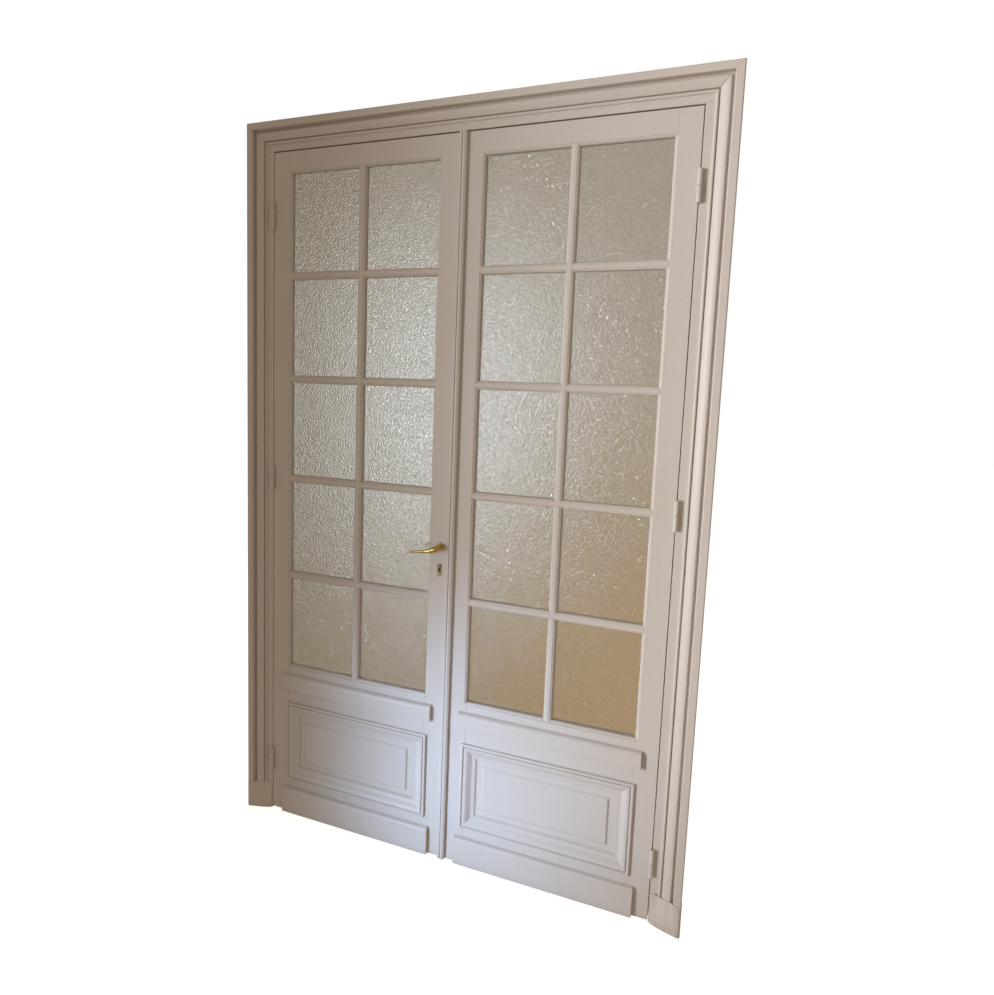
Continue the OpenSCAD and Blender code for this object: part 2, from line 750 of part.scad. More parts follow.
// Latch bolt with the tail and hook that the follower's arm draws back
module latch_bolt() color("darkgoldenrod") on_leaf(LEFT) {
    z0 = latch_z - latch_h / 2;
    z1 = latch_z + latch_h / 2;
    hook_x = backset + follower_arm_w / 2 + 0.7;
    y0 = lock_y - latch_t / 2;
    union() {
        translate([0, 0, z0]) linear_extrude(latch_h) polygon([
            [latch_tip_x, y0], [latch_tip_x + latch_body_l, y0],
            [latch_tip_x + latch_body_l, y0 + latch_t], [edge_x, y0 + latch_t],
            [latch_tip_x, y0 + 2.5]]);
        block([latch_tip_x + latch_body_l - cut_over, lock_y - 2, lever_z + follower_arm_l + 1],
              [hook_x + tail_t, lock_y + 2, lever_z + follower_arm_l + 1 + tail_t]);
        block([hook_x, lock_y - 2, lever_z + follower_r + 1.5],
              [hook_x + tail_t, lock_y + 2, lever_z + follower_arm_l + 2]);
    }
}

module deadbolt() color("darkgoldenrod") on_leaf(LEFT) difference() {
    block([edge_x, lock_y - latch_t / 2, deadbolt_z - deadbolt_h / 2],
          [edge_x + deadbolt_l - deadbolt_travel + 10, lock_y + latch_t / 2,
           deadbolt_z + deadbolt_h / 2]);
    // Room for the key to pass and to throw the bolt
    block([backset - 6, 0, deadbolt_z - deadbolt_h],
          [backset + 6 + deadbolt_travel, leaf_t, deadbolt_z + 4]);
}

// A lever from the spindle's axis on the face of the leaf, towards +X and -Y, without its rose
module lever() {
    $fn = 20;
    from = rose_t + 0.3;
    out = lever_reach - hub_d / 2;
    bend = [neck_l * cos(neck_fall), 0, -neck_l * sin(neck_fall)];
    grip_l = (lever_l - grip_tip_d / 2 - bend[0]) / cos(grip_fall);
    tip = bend + grip_l * [cos(grip_fall), 0, -sin(grip_fall)];
    difference() {
        union() {
            translate([0, -from, 0]) rotate([90, 0, 0]) cylinder(d = hub_neck_d, h = out - from);
            translate([0, -out, 0]) {
                hull() {
                    sphere(d = hub_d);
                    translate(bend) sphere(d = grip_d);
                }
                hull() {
                    translate(bend) sphere(d = grip_d);
                    translate(tip) sphere(d = grip_tip_d);
                }
                translate(bend) rotate([0, 90 + grip_fall, 0]) cylinder(d = grip_d + 2, h = collar_w);
            }
        }
        cube([spindle_hole, 60, spindle_hole], center = true);
    }
}

module lever_front() color("goldenrod") on_leaf(LEFT) translate([backset, 0, lever_z]) lever();

module lever_back() color("goldenrod") on_leaf(LEFT) translate([backset, leaf_t, lever_z])
    mirror([0, 1, 0]) lever();

module spindle() color("gray") on_leaf(LEFT) translate([backset, lock_y, lever_z])
    cube([spindle_w, leaf_t + 2 * 26, spindle_w], center = true);

module roses() color("goldenrod") on_leaf(LEFT)
    for (back = [0, 1]) translate([backset, back * leaf_t, lever_z])
        mirror([0, back, 0]) rotate([90, 0, 0]) difference() {
            rotate_extrude() polygon([
                [0, 0], [rose_d / 2, 0], [rose_d / 2, 1.5], [rose_d / 2 - 2.5, rose_t], [0, rose_t]]);
            translate([0, 0, -cut_over]) cylinder(d = spindle_w * 1.5, h = 3 * rose_t);
        }

module keyhole_plates() color("goldenrod") on_leaf(LEFT) difference() {
    for (y = [-2, leaf_t]) translate([backset, y, lever_z - keyhole_drop])
        rotate([-90, 0, 0]) linear_extrude(2) hull() {
            translate([0, (escutcheon_h - escutcheon_w) / 2]) circle(d = escutcheon_w, $fn = 32);
            translate([0, -(escutcheon_h - escutcheon_w) / 2]) circle(d = escutcheon_w, $fn = 32);
        }
    keyhole_cut();
}

// ---- right leaf's edge ----

module bolt_pockets() {
    block([0, lock_y - edge_plate_w / 2, plate_foot],
          [case_x, lock_y + edge_plate_w / 2, plate_top]);
    strike_box(0);
    for (top = [0, 1]) translate([0, 0, top * leaf_h]) mirror([0, 0, top]) {
        block([0, lock_y - edge_plate_w / 2, 0],
              [case_x, lock_y + edge_plate_w / 2, edge_bolt_l + 40]);
        translate([edge_bolt_x, lock_y, -cut_over])
            cylinder(d = edge_bolt_d + 2 * slide_clear, h = edge_bolt_l + edge_bolt_travel + 10);
        thumb_slot(cut_over);
    }
}

// Slot beside the bolt in which its thumb piece travels
module thumb_slot(over) block(
    [edge_x - over, lock_y - thumb_w / 2 - slide_clear, edge_bolt_l - 60 - edge_bolt_travel - 4],
    [edge_bolt_x, lock_y + thumb_w / 2 + slide_clear, edge_bolt_l - 60 + thumb_l + 4]);

// Hollow behind the strike plate, wider in front so that the latch can swing out
module strike_box(from) {
    deep = case_x + latch_travel + strike_deep;
    y0 = lock_y - latch_t / 2 - strike_front_clear;
    y1 = lock_y + latch_t / 2 + 1.5;
    block([from, y0, latch_z - latch_h / 2 - 1.5], [deep, y1, latch_z + latch_h / 2 + 1.5]);
    block([from, y0, deadbolt_z - deadbolt_h / 2 - 1.5],
          [deep + 4, y1, deadbolt_z + deadbolt_h / 2 + 1.5]);
}

module strike_plate() color("darkgoldenrod") on_leaf(RIGHT) difference() {
    block([edge_x, lock_y - edge_plate_w / 2, plate_foot],
          [case_x, lock_y + edge_plate_w / 2, plate_top]);
    strike_box(0);
}

module edge_bolt(top) translate([0, 0, top * leaf_h]) mirror([0, 0, top]) {
    translate([edge_bolt_x, lock_y, 1]) cylinder(d = edge_bolt_d, h = edge_bolt_l);
    block([edge_x, lock_y - thumb_w / 2, edge_bolt_l - 60],
          [edge_bolt_x, lock_y + thumb_w / 2, edge_bolt_l - 60 + thumb_l]);
}

module top_edge_bolt() color("darkgoldenrod") on_leaf(RIGHT) edge_bolt(1);

module bottom_edge_bolt() color("darkgoldenrod") on_leaf(RIGHT) edge_bolt(0);

module edge_bolt_plates() color("darkgoldenrod") on_leaf(RIGHT)
    for (top = [0, 1]) translate([0, 0, top * leaf_h]) mirror([0, 0, top]) difference() {
        block([edge_x, lock_y - edge_plate_w / 2, 0],
              [case_x, lock_y + edge_plate_w / 2, edge_bolt_l + 40]);
        thumb_slot(cut_over);
    }

// ---- the pieces ----

jamb(LEFT);  // jamb_left
jamb(RIGHT);  // jamb_right
head_jamb();
architrave(LEFT);  // architrave_left
architrave(RIGHT);  // architrave_right
architrave_head();
plinth_block(LEFT);  // plinth_block_left
plinth_block(RIGHT);  // plinth_block_right
hinge_frame_halves(LEFT);  // hinge_frame_halves_left
hinge_frame_halves(RIGHT);  // hinge_frame_halves_right
head_keeper();
hinge_stile(LEFT);  // hinge_stile_left
lock_stile(LEFT);  // lock_stile_left
top_rail(LEFT);  // top_rail_left
mid_rail(LEFT);  // mid_rail_left
bottom_rail(LEFT);  // bottom_rail_left
upright_bars(LEFT);  // upright_bars_left
cross_bars(LEFT);  // cross_bars_left
panes(LEFT, [pane_cols - 1]);  // outer_panes_left
panes(LEFT, [0 : pane_cols - 2]);  // inner_panes_left
glazing_beads(LEFT);  // glazing_beads_left
lower_panel(LEFT);  // lower_panel_left
panel_moulding(LEFT);  // panel_moulding_left
mid_board(LEFT);  // mid_board_left
kick_plate(LEFT);  // kick_plate_left
hinge_leaf_halves(LEFT);  // hinge_leaf_halves_left
hinge_stile(RIGHT);  // hinge_stile_right
lock_stile(RIGHT);  // lock_stile_right
top_rail(RIGHT);  // top_rail_right
mid_rail(RIGHT);  // mid_rail_right
bottom_rail(RIGHT);  // bottom_rail_right
upright_bars(RIGHT);  // upright_bars_right
cross_bars(RIGHT);  // cross_bars_right
panes(RIGHT, [pane_cols - 1]);  // outer_panes_right
panes(RIGHT, [0 : pane_cols - 2]);  // inner_panes_right
glazing_beads(RIGHT);  // glazing_beads_right
lower_panel(RIGHT);  // lower_panel_right
panel_moulding(RIGHT);  // panel_moulding_right
mid_board(RIGHT);  // mid_board_right
kick_plate(RIGHT);  // kick_plate_right
hinge_leaf_halves(RIGHT);  // hinge_leaf_halves_right
cover_moulding();
lock_case();
lock_faceplate();
lock_follower();
latch_bolt();
deadbolt();
lever_front();
lever_back();
spindle();
roses();
keyhole_plates();
strike_plate();
top_edge_bolt();
bottom_edge_bolt();
edge_bolt_plates();
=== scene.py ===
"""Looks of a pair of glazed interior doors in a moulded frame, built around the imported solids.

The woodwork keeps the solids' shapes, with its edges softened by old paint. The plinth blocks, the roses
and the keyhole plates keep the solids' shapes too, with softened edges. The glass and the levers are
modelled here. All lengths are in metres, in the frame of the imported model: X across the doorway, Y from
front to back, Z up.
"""
import math

import bmesh
import bpy
from bpy.props import FloatProperty, FloatVectorProperty, PointerProperty
from mathutils import Matrix, Vector


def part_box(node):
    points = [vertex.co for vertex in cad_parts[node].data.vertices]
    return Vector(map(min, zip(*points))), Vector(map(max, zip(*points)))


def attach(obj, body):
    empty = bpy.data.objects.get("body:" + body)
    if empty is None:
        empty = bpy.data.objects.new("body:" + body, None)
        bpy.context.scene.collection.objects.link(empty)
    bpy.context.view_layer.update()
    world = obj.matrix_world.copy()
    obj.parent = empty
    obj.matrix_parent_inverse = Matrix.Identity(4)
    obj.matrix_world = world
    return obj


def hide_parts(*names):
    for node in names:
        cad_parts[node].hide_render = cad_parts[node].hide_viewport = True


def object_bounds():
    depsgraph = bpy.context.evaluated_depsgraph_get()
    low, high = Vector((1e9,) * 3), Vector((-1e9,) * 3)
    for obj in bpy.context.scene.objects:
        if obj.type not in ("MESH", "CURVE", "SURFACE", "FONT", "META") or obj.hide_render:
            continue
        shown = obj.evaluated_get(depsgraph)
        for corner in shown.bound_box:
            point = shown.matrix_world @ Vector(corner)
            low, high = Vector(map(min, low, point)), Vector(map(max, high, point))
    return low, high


bl_info = {
    "name": "Glazed double doors",
    "version": (1, 0, 0),
    "blender": (4, 5, 0),
    "location": "View3D > Sidebar > Doors",
    "description": "Finishes and fine shapes of a pair of glazed doors around their solid model",
    "category": "Add Mesh",
}

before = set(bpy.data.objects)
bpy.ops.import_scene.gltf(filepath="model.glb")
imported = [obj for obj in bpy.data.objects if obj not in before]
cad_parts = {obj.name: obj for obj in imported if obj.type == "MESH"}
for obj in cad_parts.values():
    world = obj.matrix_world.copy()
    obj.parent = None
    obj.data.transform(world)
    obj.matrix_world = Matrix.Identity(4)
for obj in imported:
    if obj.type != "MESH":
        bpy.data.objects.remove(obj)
SOLID_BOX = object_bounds()
SIDES = ("left", "right")
MM = 0.001
LEAF_FACES = [corner.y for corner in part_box("lock_stile_left")]
SPINDLE = sum(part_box("spindle"), Vector()) / 2
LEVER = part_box("lever_front")


# ---------------------------------------------------------------- shader maths

class Value:
    """One output of a shader node, with arithmetic written as Python."""

    def __init__(self, shade, socket):
        self.shade = shade
        self.socket = socket

    def math(self, operation, *others, clamp=False):
        names = ("Value", "Value_001", "Value_002")
        values = dict(zip(names, (self, *others)))
        return self.shade.value("Math", "Value", {"operation": operation, "use_clamp": clamp}, values)

    def swapped(self, operation, first):
        values = {"Value": first, "Value_001": self}
        return self.shade.value("Math", "Value", {"operation": operation}, values)

    def __add__(self, other):
        return self.math("ADD", other)

    def __sub__(self, other):
        return self.math("SUBTRACT", other)

    def __mul__(self, other):
        return self.math("MULTIPLY", other)

    def __radd__(self, other):
        return self.swapped("ADD", other)

    def __rsub__(self, other):
        return self.swapped("SUBTRACT", other)

    def __rmul__(self, other):
        return self.swapped("MULTIPLY", other)

    def clamped(self):
        return self.math("ADD", 0.0, clamp=True)

    def between(self, low, high):
        """0 below low, 1 above high, and a smooth rise from one to the other."""
        settings = {"interpolation_type": "SMOOTHSTEP"}
        return self.shade.value(
            "MapRange", "Result", settings, {"Value": self, "From Min": low, "From Max": high})


class Shade:
    """The node tree of a material or of the world, while it is built."""

    def __init__(self, owner):
        owner.use_nodes = True
        self.owner = owner
        self.tree = owner.node_tree
        self.tree.nodes.clear()

    def node(self, kind, settings=None, values=None):
        """A node with its settings, and then the values or links of its sockets, by identifier."""
        node = self.tree.nodes.new("ShaderNode" + kind)
        for name, setting in (settings or {}).items():
            setattr(node, name, setting)
        sockets = {socket.identifier: socket for socket in node.inputs}
        for name, value in (values or {}).items():
            if isinstance(value, Value):
                self.tree.links.new(value.socket, sockets[name])
            else:
                sockets[name].default_value = value
        return node

    def value(self, kind, output, settings=None, values=None):
        return Value(self, self.node(kind, settings, values).outputs[output])

    def mix(self, factor, first, second):
        """A colour between two colours."""
        node = self.node("Mix", {"data_type": "RGBA"},
                         {"Factor_Float": factor, "A_Color": first, "B_Color": second})
        return Value(self, next(o for o in node.outputs if o.identifier == "Result_Color"))

    def place(self, scale=(1.0, 1.0, 1.0)):
        """Coordinates of the piece, in metres times scale."""
        here = self.value("TexCoord", "Object")
        return self.value("Mapping", "Vector", None, {"Vector": here, "Scale": scale})

    def height(self):
        """Height over the floor, in metres."""
        return self.value("SeparateXYZ", "Z", None, {"Vector": self.value("TexCoord", "Object")})

    def parts(self, vector):
        node = self.node("SeparateXYZ", None, {"Vector": vector})
        return [Value(self, output) for output in node.outputs]

    def noise(self, where, scale, detail=2.0, roughness=0.5):
        return self.value("TexNoise", "Fac", None, {
            "Vector": where, "Scale": scale, "Detail": detail, "Roughness": roughness})

    def bump(self, height, distance, strength=1.0):
        return self.value("Bump", "Normal", None, {
            "Height": height, "Distance": distance, "Strength": strength})

    def surface(self, **values):
        """Ends the tree in a Principled shader. Names are its sockets', with _ for a space."""
        sockets = {name.replace("_", " "): value for name, value in values.items()}
        shader = self.value("BsdfPrincipled", "BSDF", None, sockets)
        self.node("OutputMaterial", None, {"Surface": shader})
        return self.owner


def new_material(name):
    return Shade(bpy.data.materials.new(name))


def opaque(colour):
    return (*colour, 1.0)


# ---------------------------------------------------------------- finishes

GRAIN = {"x": (5.0, 300.0, 300.0), "z": (300.0, 300.0, 5.0)}


def oil_paint(name, colour, along):
    """Old brushed oil paint: marks along the member, a little grime and painted shade in the corners, a few
    small chips.
    """
    look = bpy.context.scene.doors_paint
    s = new_material(name)
    brushed = s.noise(s.place(GRAIN[along]), 1.0, 3.0, 0.6)
    sags = s.noise(s.place(), 38.0, 2.0)
    patches = s.noise(s.place(), 2.1, 3.0, 0.55)
    specks = s.noise(s.place(), 260.0, 2.0, 0.65)
    # Ambient occlusion darkens the corners, creases and recesses: painted shade, which patches of grime vary.
    corner = 1.0 - s.value("AmbientOcclusion", "AO", {"samples": 4, "only_local": True},
                           {"Distance": look.grime_and_shade_reach})
    grime_and_shade = (corner * (0.55 + 0.9 * patches)).clamped() * look.grime_and_shade
    foot = (1.0 - s.height().between(0.0, 0.035)) * specks.between(0.42, 0.62) * 0.30
    chips = specks.between(0.735, 0.75) * patches.between(0.48, 0.62)
    yellowed = s.mix(patches.between(0.35, 0.75) * 0.35, opaque(colour), opaque(look.yellowed))
    brushed_colour = s.mix(brushed.between(0.3, 0.7) * 0.02, yellowed, opaque(look.grime_and_shade_colour))
    # The grime colour goes over the painted shade in corners and over the dirt specks at the foot.
    dirty_and_shaded = s.mix((grime_and_shade + foot).clamped(), brushed_colour, opaque(look.grime_and_shade_colour))
    chipped = s.mix(chips * 0.8, dirty_and_shaded, opaque(look.bare_wood))
    marks = brushed * 0.16 + sags * 0.9 + specks * 0.10 - chips * 0.9
    return s.surface(
        Base_Color=chipped,
        Roughness=0.38 + brushed * 0.12 + grime_and_shade * 0.25,
        Normal=s.bump(marks, look.brush_depth, 0.7))


def hammered_glass():
    look = bpy.context.scene.doors_glass
    s = new_material("hammered_glass")
    fine = s.noise(s.place(), 1.6 / look.fine_grain, 1.0, 0.5)
    pits = s.value("TexVoronoi", "Distance", {"feature": "SMOOTH_F1"},
                   {"Vector": s.place(), "Scale": 1.0 / look.fine_grain, "Smoothness": 0.5})
    return s.surface(
        Base_Color=opaque(look.tint), Roughness=look.roughness, IOR=1.5, Specular_IOR_Level=0.12,
        Transmission_Weight=1.0,
        Normal=s.bump(fine * 0.5 + pits, look.fine_depth))


def aged_brass(name, bright, dark, spread, handled=None):
    """Brass that handling keeps bright, over a range across X or in patches, and leaves brown elsewhere."""
    s = new_material(name)
    patina = s.noise(s.place(), 70.0, 4.0, 0.6)
    scratches = s.noise(s.place((200.0, 1500.0, 1500.0)), 1.0, 2.0)
    corner = 1.0 - s.value("AmbientOcclusion", "AO", {"samples": 4, "only_local": True},
                           {"Distance": 4.0 * MM})
    stain = patina.between(0.5 - spread, 0.5 + spread) + corner * 0.7
    if handled:
        across = s.parts(s.value("TexCoord", "Object"))[0]
        low, high = handled
        worn = across.between(low, low + 6.0 * MM) - across.between(high - 12.0 * MM, high + 6.0 * MM)
        stain = stain + 0.85 - worn * 0.95
    stain = stain.clamped()
    return s.surface(
        Base_Color=s.mix(stain, opaque(bright), opaque(dark)),
        Metallic=1.0,
        Roughness=0.22 + stain * 0.25 + scratches * 0.08,
        Normal=s.bump(scratches + patina * 0.6, 0.06 * MM))


def lock_steel():
    s = new_material("plain_steel")
    mill = s.noise(s.place((40.0, 900.0, 900.0)), 1.0, 3.0)
    spots = s.noise(s.place(), 90.0, 3.0)
    return s.surface(
        Base_Color=s.mix(spots.between(0.5, 0.7) * 0.6, (0.40, 0.39, 0.38, 1.0), (0.16, 0.12, 0.09, 1.0)),
        Metallic=1.0, Roughness=0.35 + mill * 0.2, Normal=s.bump(mill, 0.05 * MM))


def finishes():
    """The materials by name, made once."""
    if "leaf_upright" in bpy.data.materials:
        return bpy.data.materials
    paint = bpy.context.scene.doors_paint
    lever = bpy.context.scene.doors_lever
    for part, colour in (("leaf", paint.leaf_colour), ("frame", paint.frame_colour)):
        oil_paint(part + "_upright", colour, "z")
        oil_paint(part + "_level", colour, "x")
    hammered_glass()
    grip = (LEVER[0].x + 5.0 * MM, SPINDLE.x - 0.42 * lever.length)
    aged_brass("lever_brass", lever.bright, lever.dark, 0.22, grip)
    aged_brass("plate_brass", lever.plate, lever.dark, 0.25)
    aged_brass("bolt_brass", (0.52, 0.38, 0.17), (0.17, 0.11, 0.05), 0.35)
    lock_steel()
    return bpy.data.materials


# ---------------------------------------------------------------- meshes

def mesh_object(name, mesh, material):
    mesh.materials.clear()
    mesh.materials.append(material)
    piece = bpy.data.objects.new(name, mesh)
    bpy.context.scene.collection.objects.link(piece)
    return piece


def as_plain_mesh(piece):
    """Turns a piece and its modifiers into a plain mesh."""
    graph = bpy.context.evaluated_depsgraph_get()
    mesh = bpy.data.meshes.new_from_object(piece.evaluated_get(graph))
    piece.modifiers.clear()
    piece.data = mesh
    return piece


def smooth_by_angle(mesh, degrees):
    for face in mesh.polygons:
        face.use_smooth = True
    mesh.set_sharp_from_angle(angle=math.radians(degrees))


def node_mesh(node):
    """A copy of a solid's mesh with its doubles merged and its flat faces whole."""
    bm = bmesh.new()
    bm.from_mesh(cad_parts[node].data)
    bmesh.ops.remove_doubles(bm, verts=bm.verts, dist=0.5e-6)
    bmesh.ops.dissolve_limit(bm, angle_limit=math.radians(0.5), verts=bm.verts, edges=bm.edges)
    return bm


def room_beside(edge):
    """The shortest side of an edge's faces that leaves from one of its ends."""
    beside = [other.calc_length() for face in edge.link_faces for other in face.edges
              if other is not edge and set(other.verts) & set(edge.verts)]
    return min(beside)


def softened(node, name, material, width, angle=35.0):
    """A solid's copy with its edges rounded by width, or by less where an edge has no room for it."""
    bm = node_mesh(node)
    weight = bm.edges.layers.float.new("bevel_weight_edge")
    for edge in bm.edges:
        if len(edge.link_faces) == 2 and edge.calc_face_angle() > math.radians(angle):
            edge[weight] = min(1.0, 0.42 * room_beside(edge) / width)
    mesh = bpy.data.meshes.new(name)
    bm.to_mesh(mesh)
    bm.free()
    piece = mesh_object(name, mesh, material)
    round_off = piece.modifiers.new("round", "BEVEL")
    round_off.width = width
    round_off.segments = 2
    round_off.limit_method = "WEIGHT"
    round_off.use_clamp_overlap = False
    smooth_by_angle(mesh, angle)
    lay_normals = piece.modifiers.new("normals", "WEIGHTED_NORMAL")
    lay_normals.keep_sharp = True
    return as_plain_mesh(piece)


def settle(piece, body, slot, *nodes):
    """Hands a finished piece to its body and hides the solids that it stands for. The slot is not used."""
    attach(piece, body)
    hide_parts(*nodes)
    return piece


def closed_mesh(name, bm):
    """Merges doubles, turns the faces outwards and gives the mesh."""
    bmesh.ops.remove_doubles(bm, verts=bm.verts, dist=1e-6)
    bmesh.ops.recalc_face_normals(bm, faces=bm.faces)
    mesh = bpy.data.meshes.new(name)
    bm.to_mesh(mesh)
    bm.free()
    return mesh


def skin(bm, rings):
    """Joins rings of points into a closed skin, with a fan at each end."""
    rows = [[bm.verts.new(point) for point in ring] for ring in rings]
    count = len(rows[0])
    for low, high in zip(rows, rows[1:]):
        for i in range(count):
            j = (i + 1) % count
            bm.faces.new((low[i], low[j], high[j], high[i]))
    for row in (rows[0], rows[-1]):
        pole = bm.verts.new(sum((v.co for v in row), Vector()) / count)
        for i in range(count):
            bm.faces.new((row[i], row[(i + 1) % count], pole))


def smooth_step(t):
    return t * t * (3.0 - 2.0 * t)


def along_table(table, t):
    """A smooth value at t from a short table of (place, value)."""
    for (t0, v0), (t1, v1) in zip(table, table[1:]):
        if t <= t1:
            return v0 + (v1 - v0) * smooth_step((t - t0) / (t1 - t0))
    return table[-1][1]


# ---------------------------------------------------------------- glass

def pane_tree():
    """Geometry nodes: a column of panes whose front has a hammered relief."""
    tree = bpy.data.node_groups.new("hammered_panes", "GeometryNodeTree")
    face = tree.interface
    floats = ("Width", "Height", "Step", "Thickness", "Grain", "Depth")
    face.new_socket("Geometry", in_out="OUTPUT", socket_type="NodeSocketGeometry")
    for name in floats:
        face.new_socket(name, in_out="INPUT", socket_type="NodeSocketFloat")
    for name in ("Rows", "Cells Across", "Cells Up"):
        face.new_socket(name, in_out="INPUT", socket_type="NodeSocketInt")
    face.new_socket("Corner", in_out="INPUT", socket_type="NodeSocketVector")
    face.new_socket("Seed", in_out="INPUT", socket_type="NodeSocketFloat")
    face.new_socket("Finish", in_out="INPUT", socket_type="NodeSocketMaterial")
    group = tree.nodes.new("NodeGroupInput")
    out = tree.nodes.new("NodeGroupOutput")

    def node(kind, settings=None, **values):
        made = tree.nodes.new(kind)
        for key, setting in (settings or {}).items():
            setattr(made, key, setting)
        sockets = {s.identifier: s for s in made.inputs}
        for key, value in values.items():
            socket = sockets[key.replace("_", " ")] if key.replace("_", " ") in sockets else sockets[key]
            if isinstance(value, bpy.types.NodeSocket):
                tree.links.new(value, socket)
            else:
                socket.default_value = value
        return made

    def maths(operation, first, second):
        made = node("ShaderNodeMath", {"operation": operation}, Value=first, Value_001=second)
        return made.outputs[0]

    def vector(x=0.0, y=0.0, z=0.0):
        return node("ShaderNodeCombineXYZ", X=x, Y=y, Z=z).outputs[0]

    given = group.outputs
    grid = node("GeometryNodeMeshGrid", Size_X=given["Width"], Size_Y=given["Height"],
                Vertices_X=maths("ADD", given["Cells Across"], 1),
                Vertices_Y=maths("ADD", given["Cells Up"], 1))
    around = node("GeometryNodeInputMeshEdgeNeighbors")
    rim = node("FunctionNodeCompare", {"data_type": "INT", "operation": "EQUAL"},
               A_INT=around.outputs[0], B_INT=1).outputs[0]
    back_shift = vector(z=maths("MULTIPLY", given["Thickness"], -1.0))
    walls = node("GeometryNodeExtrudeMesh", {"mode": "EDGES"}, Mesh=grid.outputs[0],
                 Selection=rim, Offset=back_shift, Offset_Scale=1.0)
    outline = node("GeometryNodeMeshToCurve", Mesh=grid.outputs[0], Selection=rim)
    back = node("GeometryNodeFillCurve", {"mode": "NGONS"}, Curve=outline.outputs[0])
    back_placed = node("GeometryNodeTransform", Geometry=back.outputs[0], Translation=back_shift)
    joined = node("GeometryNodeJoinGeometry")
    tree.links.new(back_placed.outputs[0], joined.inputs[0])
    tree.links.new(walls.outputs[0], joined.inputs[0])
    whole = node("GeometryNodeMergeByDistance", Geometry=joined.outputs[0], Distance=1e-5)
    stood = node("GeometryNodeTransform", Geometry=whole.outputs[0], Rotation=(math.pi / 2, 0.0, 0.0))
    column = node("GeometryNodeMeshLine", Count=given["Rows"], Start_Location=given["Corner"],
                  Offset=vector(z=given["Step"]))
    copies = node("GeometryNodeInstanceOnPoints", Points=column.outputs[0], Instance=stood.outputs[0])
    real = node("GeometryNodeRealizeInstances", Geometry=copies.outputs[0])

    here = node("GeometryNodeInputPosition").outputs[0]
    seeded = node("ShaderNodeVectorMath", {"operation": "ADD"}, Vector=here,
                  Vector_001=vector(x=given["Seed"])).outputs[0]
    lumps = node("ShaderNodeTexVoronoi", {"feature": "SMOOTH_F1"}, Vector=seeded,
                 Scale=maths("DIVIDE", 1.0, given["Grain"]),
                 Smoothness=0.5, Randomness=1.0).outputs["Distance"]
    drift = node("ShaderNodeTexNoise", Vector=seeded, Scale=maths("DIVIDE", 0.45, given["Grain"]),
                 Detail=2.0).outputs[0]
    relief = maths("MULTIPLY", maths("ADD", maths("MULTIPLY", lumps, 0.75), maths("MULTIPLY", drift, 0.5)),
                   given["Depth"])
    facing = node("ShaderNodeSeparateXYZ", Vector=node("GeometryNodeInputNormal").outputs[0])
    front = node("FunctionNodeCompare", {"data_type": "FLOAT", "operation": "LESS_THAN"},
                 A=facing.outputs[1], B=-0.5).outputs[0]
    pressed = node("GeometryNodeSetPosition", Geometry=real.outputs[0], Selection=front,
                   Offset=vector(y=relief))
    painted = node("GeometryNodeSetMaterial", Geometry=pressed.outputs[0], Material=given["Finish"])
    tree.links.new(painted.outputs[0], out.inputs[0])
    return tree


def set_inputs(modifier, values):
    """Sets a Geometry Nodes modifier's inputs by the identifiers of the sockets that have these names."""
    for item in modifier.node_group.interface.items_tree:
        if item.item_type == "SOCKET" and item.in_out == "INPUT" and item.name in values:
            modifier[item.identifier] = values[item.name]


def pane_rows(node):
    """Number of panes in a column and the step between them."""
    zs = sorted({round(v.co.z, 5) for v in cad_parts[node].data.vertices})
    return len(zs) // 2, zs[2] - zs[0], zs[1] - zs[0]


class DOORS_OT_panes(bpy.types.Operator):
    """Hammered glass, one column of panes at a time"""
    bl_idname = "doors.panes"
    bl_label = "Panes"

    def execute(self, context):
        look = context.scene.doors_glass
        tree = pane_tree()
        for seed, (column, side) in enumerate((c, s) for s in SIDES for c in ("outer", "inner")):
            node = f"{column}_panes_{side}"
            low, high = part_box(node)
            rows, step, height = pane_rows(node)
            width = high.x - low.x
            piece = mesh_object(node + "_glass", bpy.data.meshes.new(node), finishes()["hammered_glass"])
            nodes = piece.modifiers.new("panes", "NODES")
            nodes.node_group = tree
            set_inputs(nodes, {
                "Width": width, "Height": height, "Step": step, "Rows": rows,
                "Thickness": high.y - low.y, "Grain": look.grain, "Depth": look.depth,
                "Cells Across": round(width / look.cell), "Cells Up": round(height / look.cell),
                "Corner": (low.x + width / 2, low.y, low.z + height / 2), "Seed": 3.7 * seed,
                "Finish": finishes()["hammered_glass"]})
            as_plain_mesh(piece)
            bm = bmesh.new()
            bm.from_mesh(piece.data)
            piece.data = closed_mesh(node + "_glass", bm)
            piece.data.materials.append(finishes()["hammered_glass"])
            smooth_by_angle(piece.data, 50.0)
            settle(piece, side + "_leaf", "textured_glass", node)
        return {"FINISHED"}


# ---------------------------------------------------------------- woodwork

UPRIGHT = ("hinge_stile", "lock_stile", "upright_bars")
LEVEL = ("top_rail", "mid_rail", "bottom_rail", "cross_bars", "glazing_beads", "lower_panel",
         "panel_moulding", "mid_board", "kick_plate")


class DOORS_OT_leaves(bpy.types.Operator):
    """Stiles, rails, bars, beads, panels and applied boards of both leaves"""
    bl_idname = "doors.leaves"
    bl_label = "Leaves"

    def execute(self, context):
        width = context.scene.doors_paint.edge_round
        for side in SIDES:
            for part in UPRIGHT + LEVEL:
                node = f"{part}_{side}"
                finish = finishes()["leaf_upright" if part in UPRIGHT else "leaf_level"]
                piece = softened(node, node + "_painted", finish, width)
                settle(piece, side + "_leaf", "leaf_paint", node)
        piece = softened("cover_moulding", "cover_moulding_painted", finishes()["leaf_upright"], width)
        settle(piece, "left_leaf", "leaf_paint", "cover_moulding")
        return {"FINISHED"}


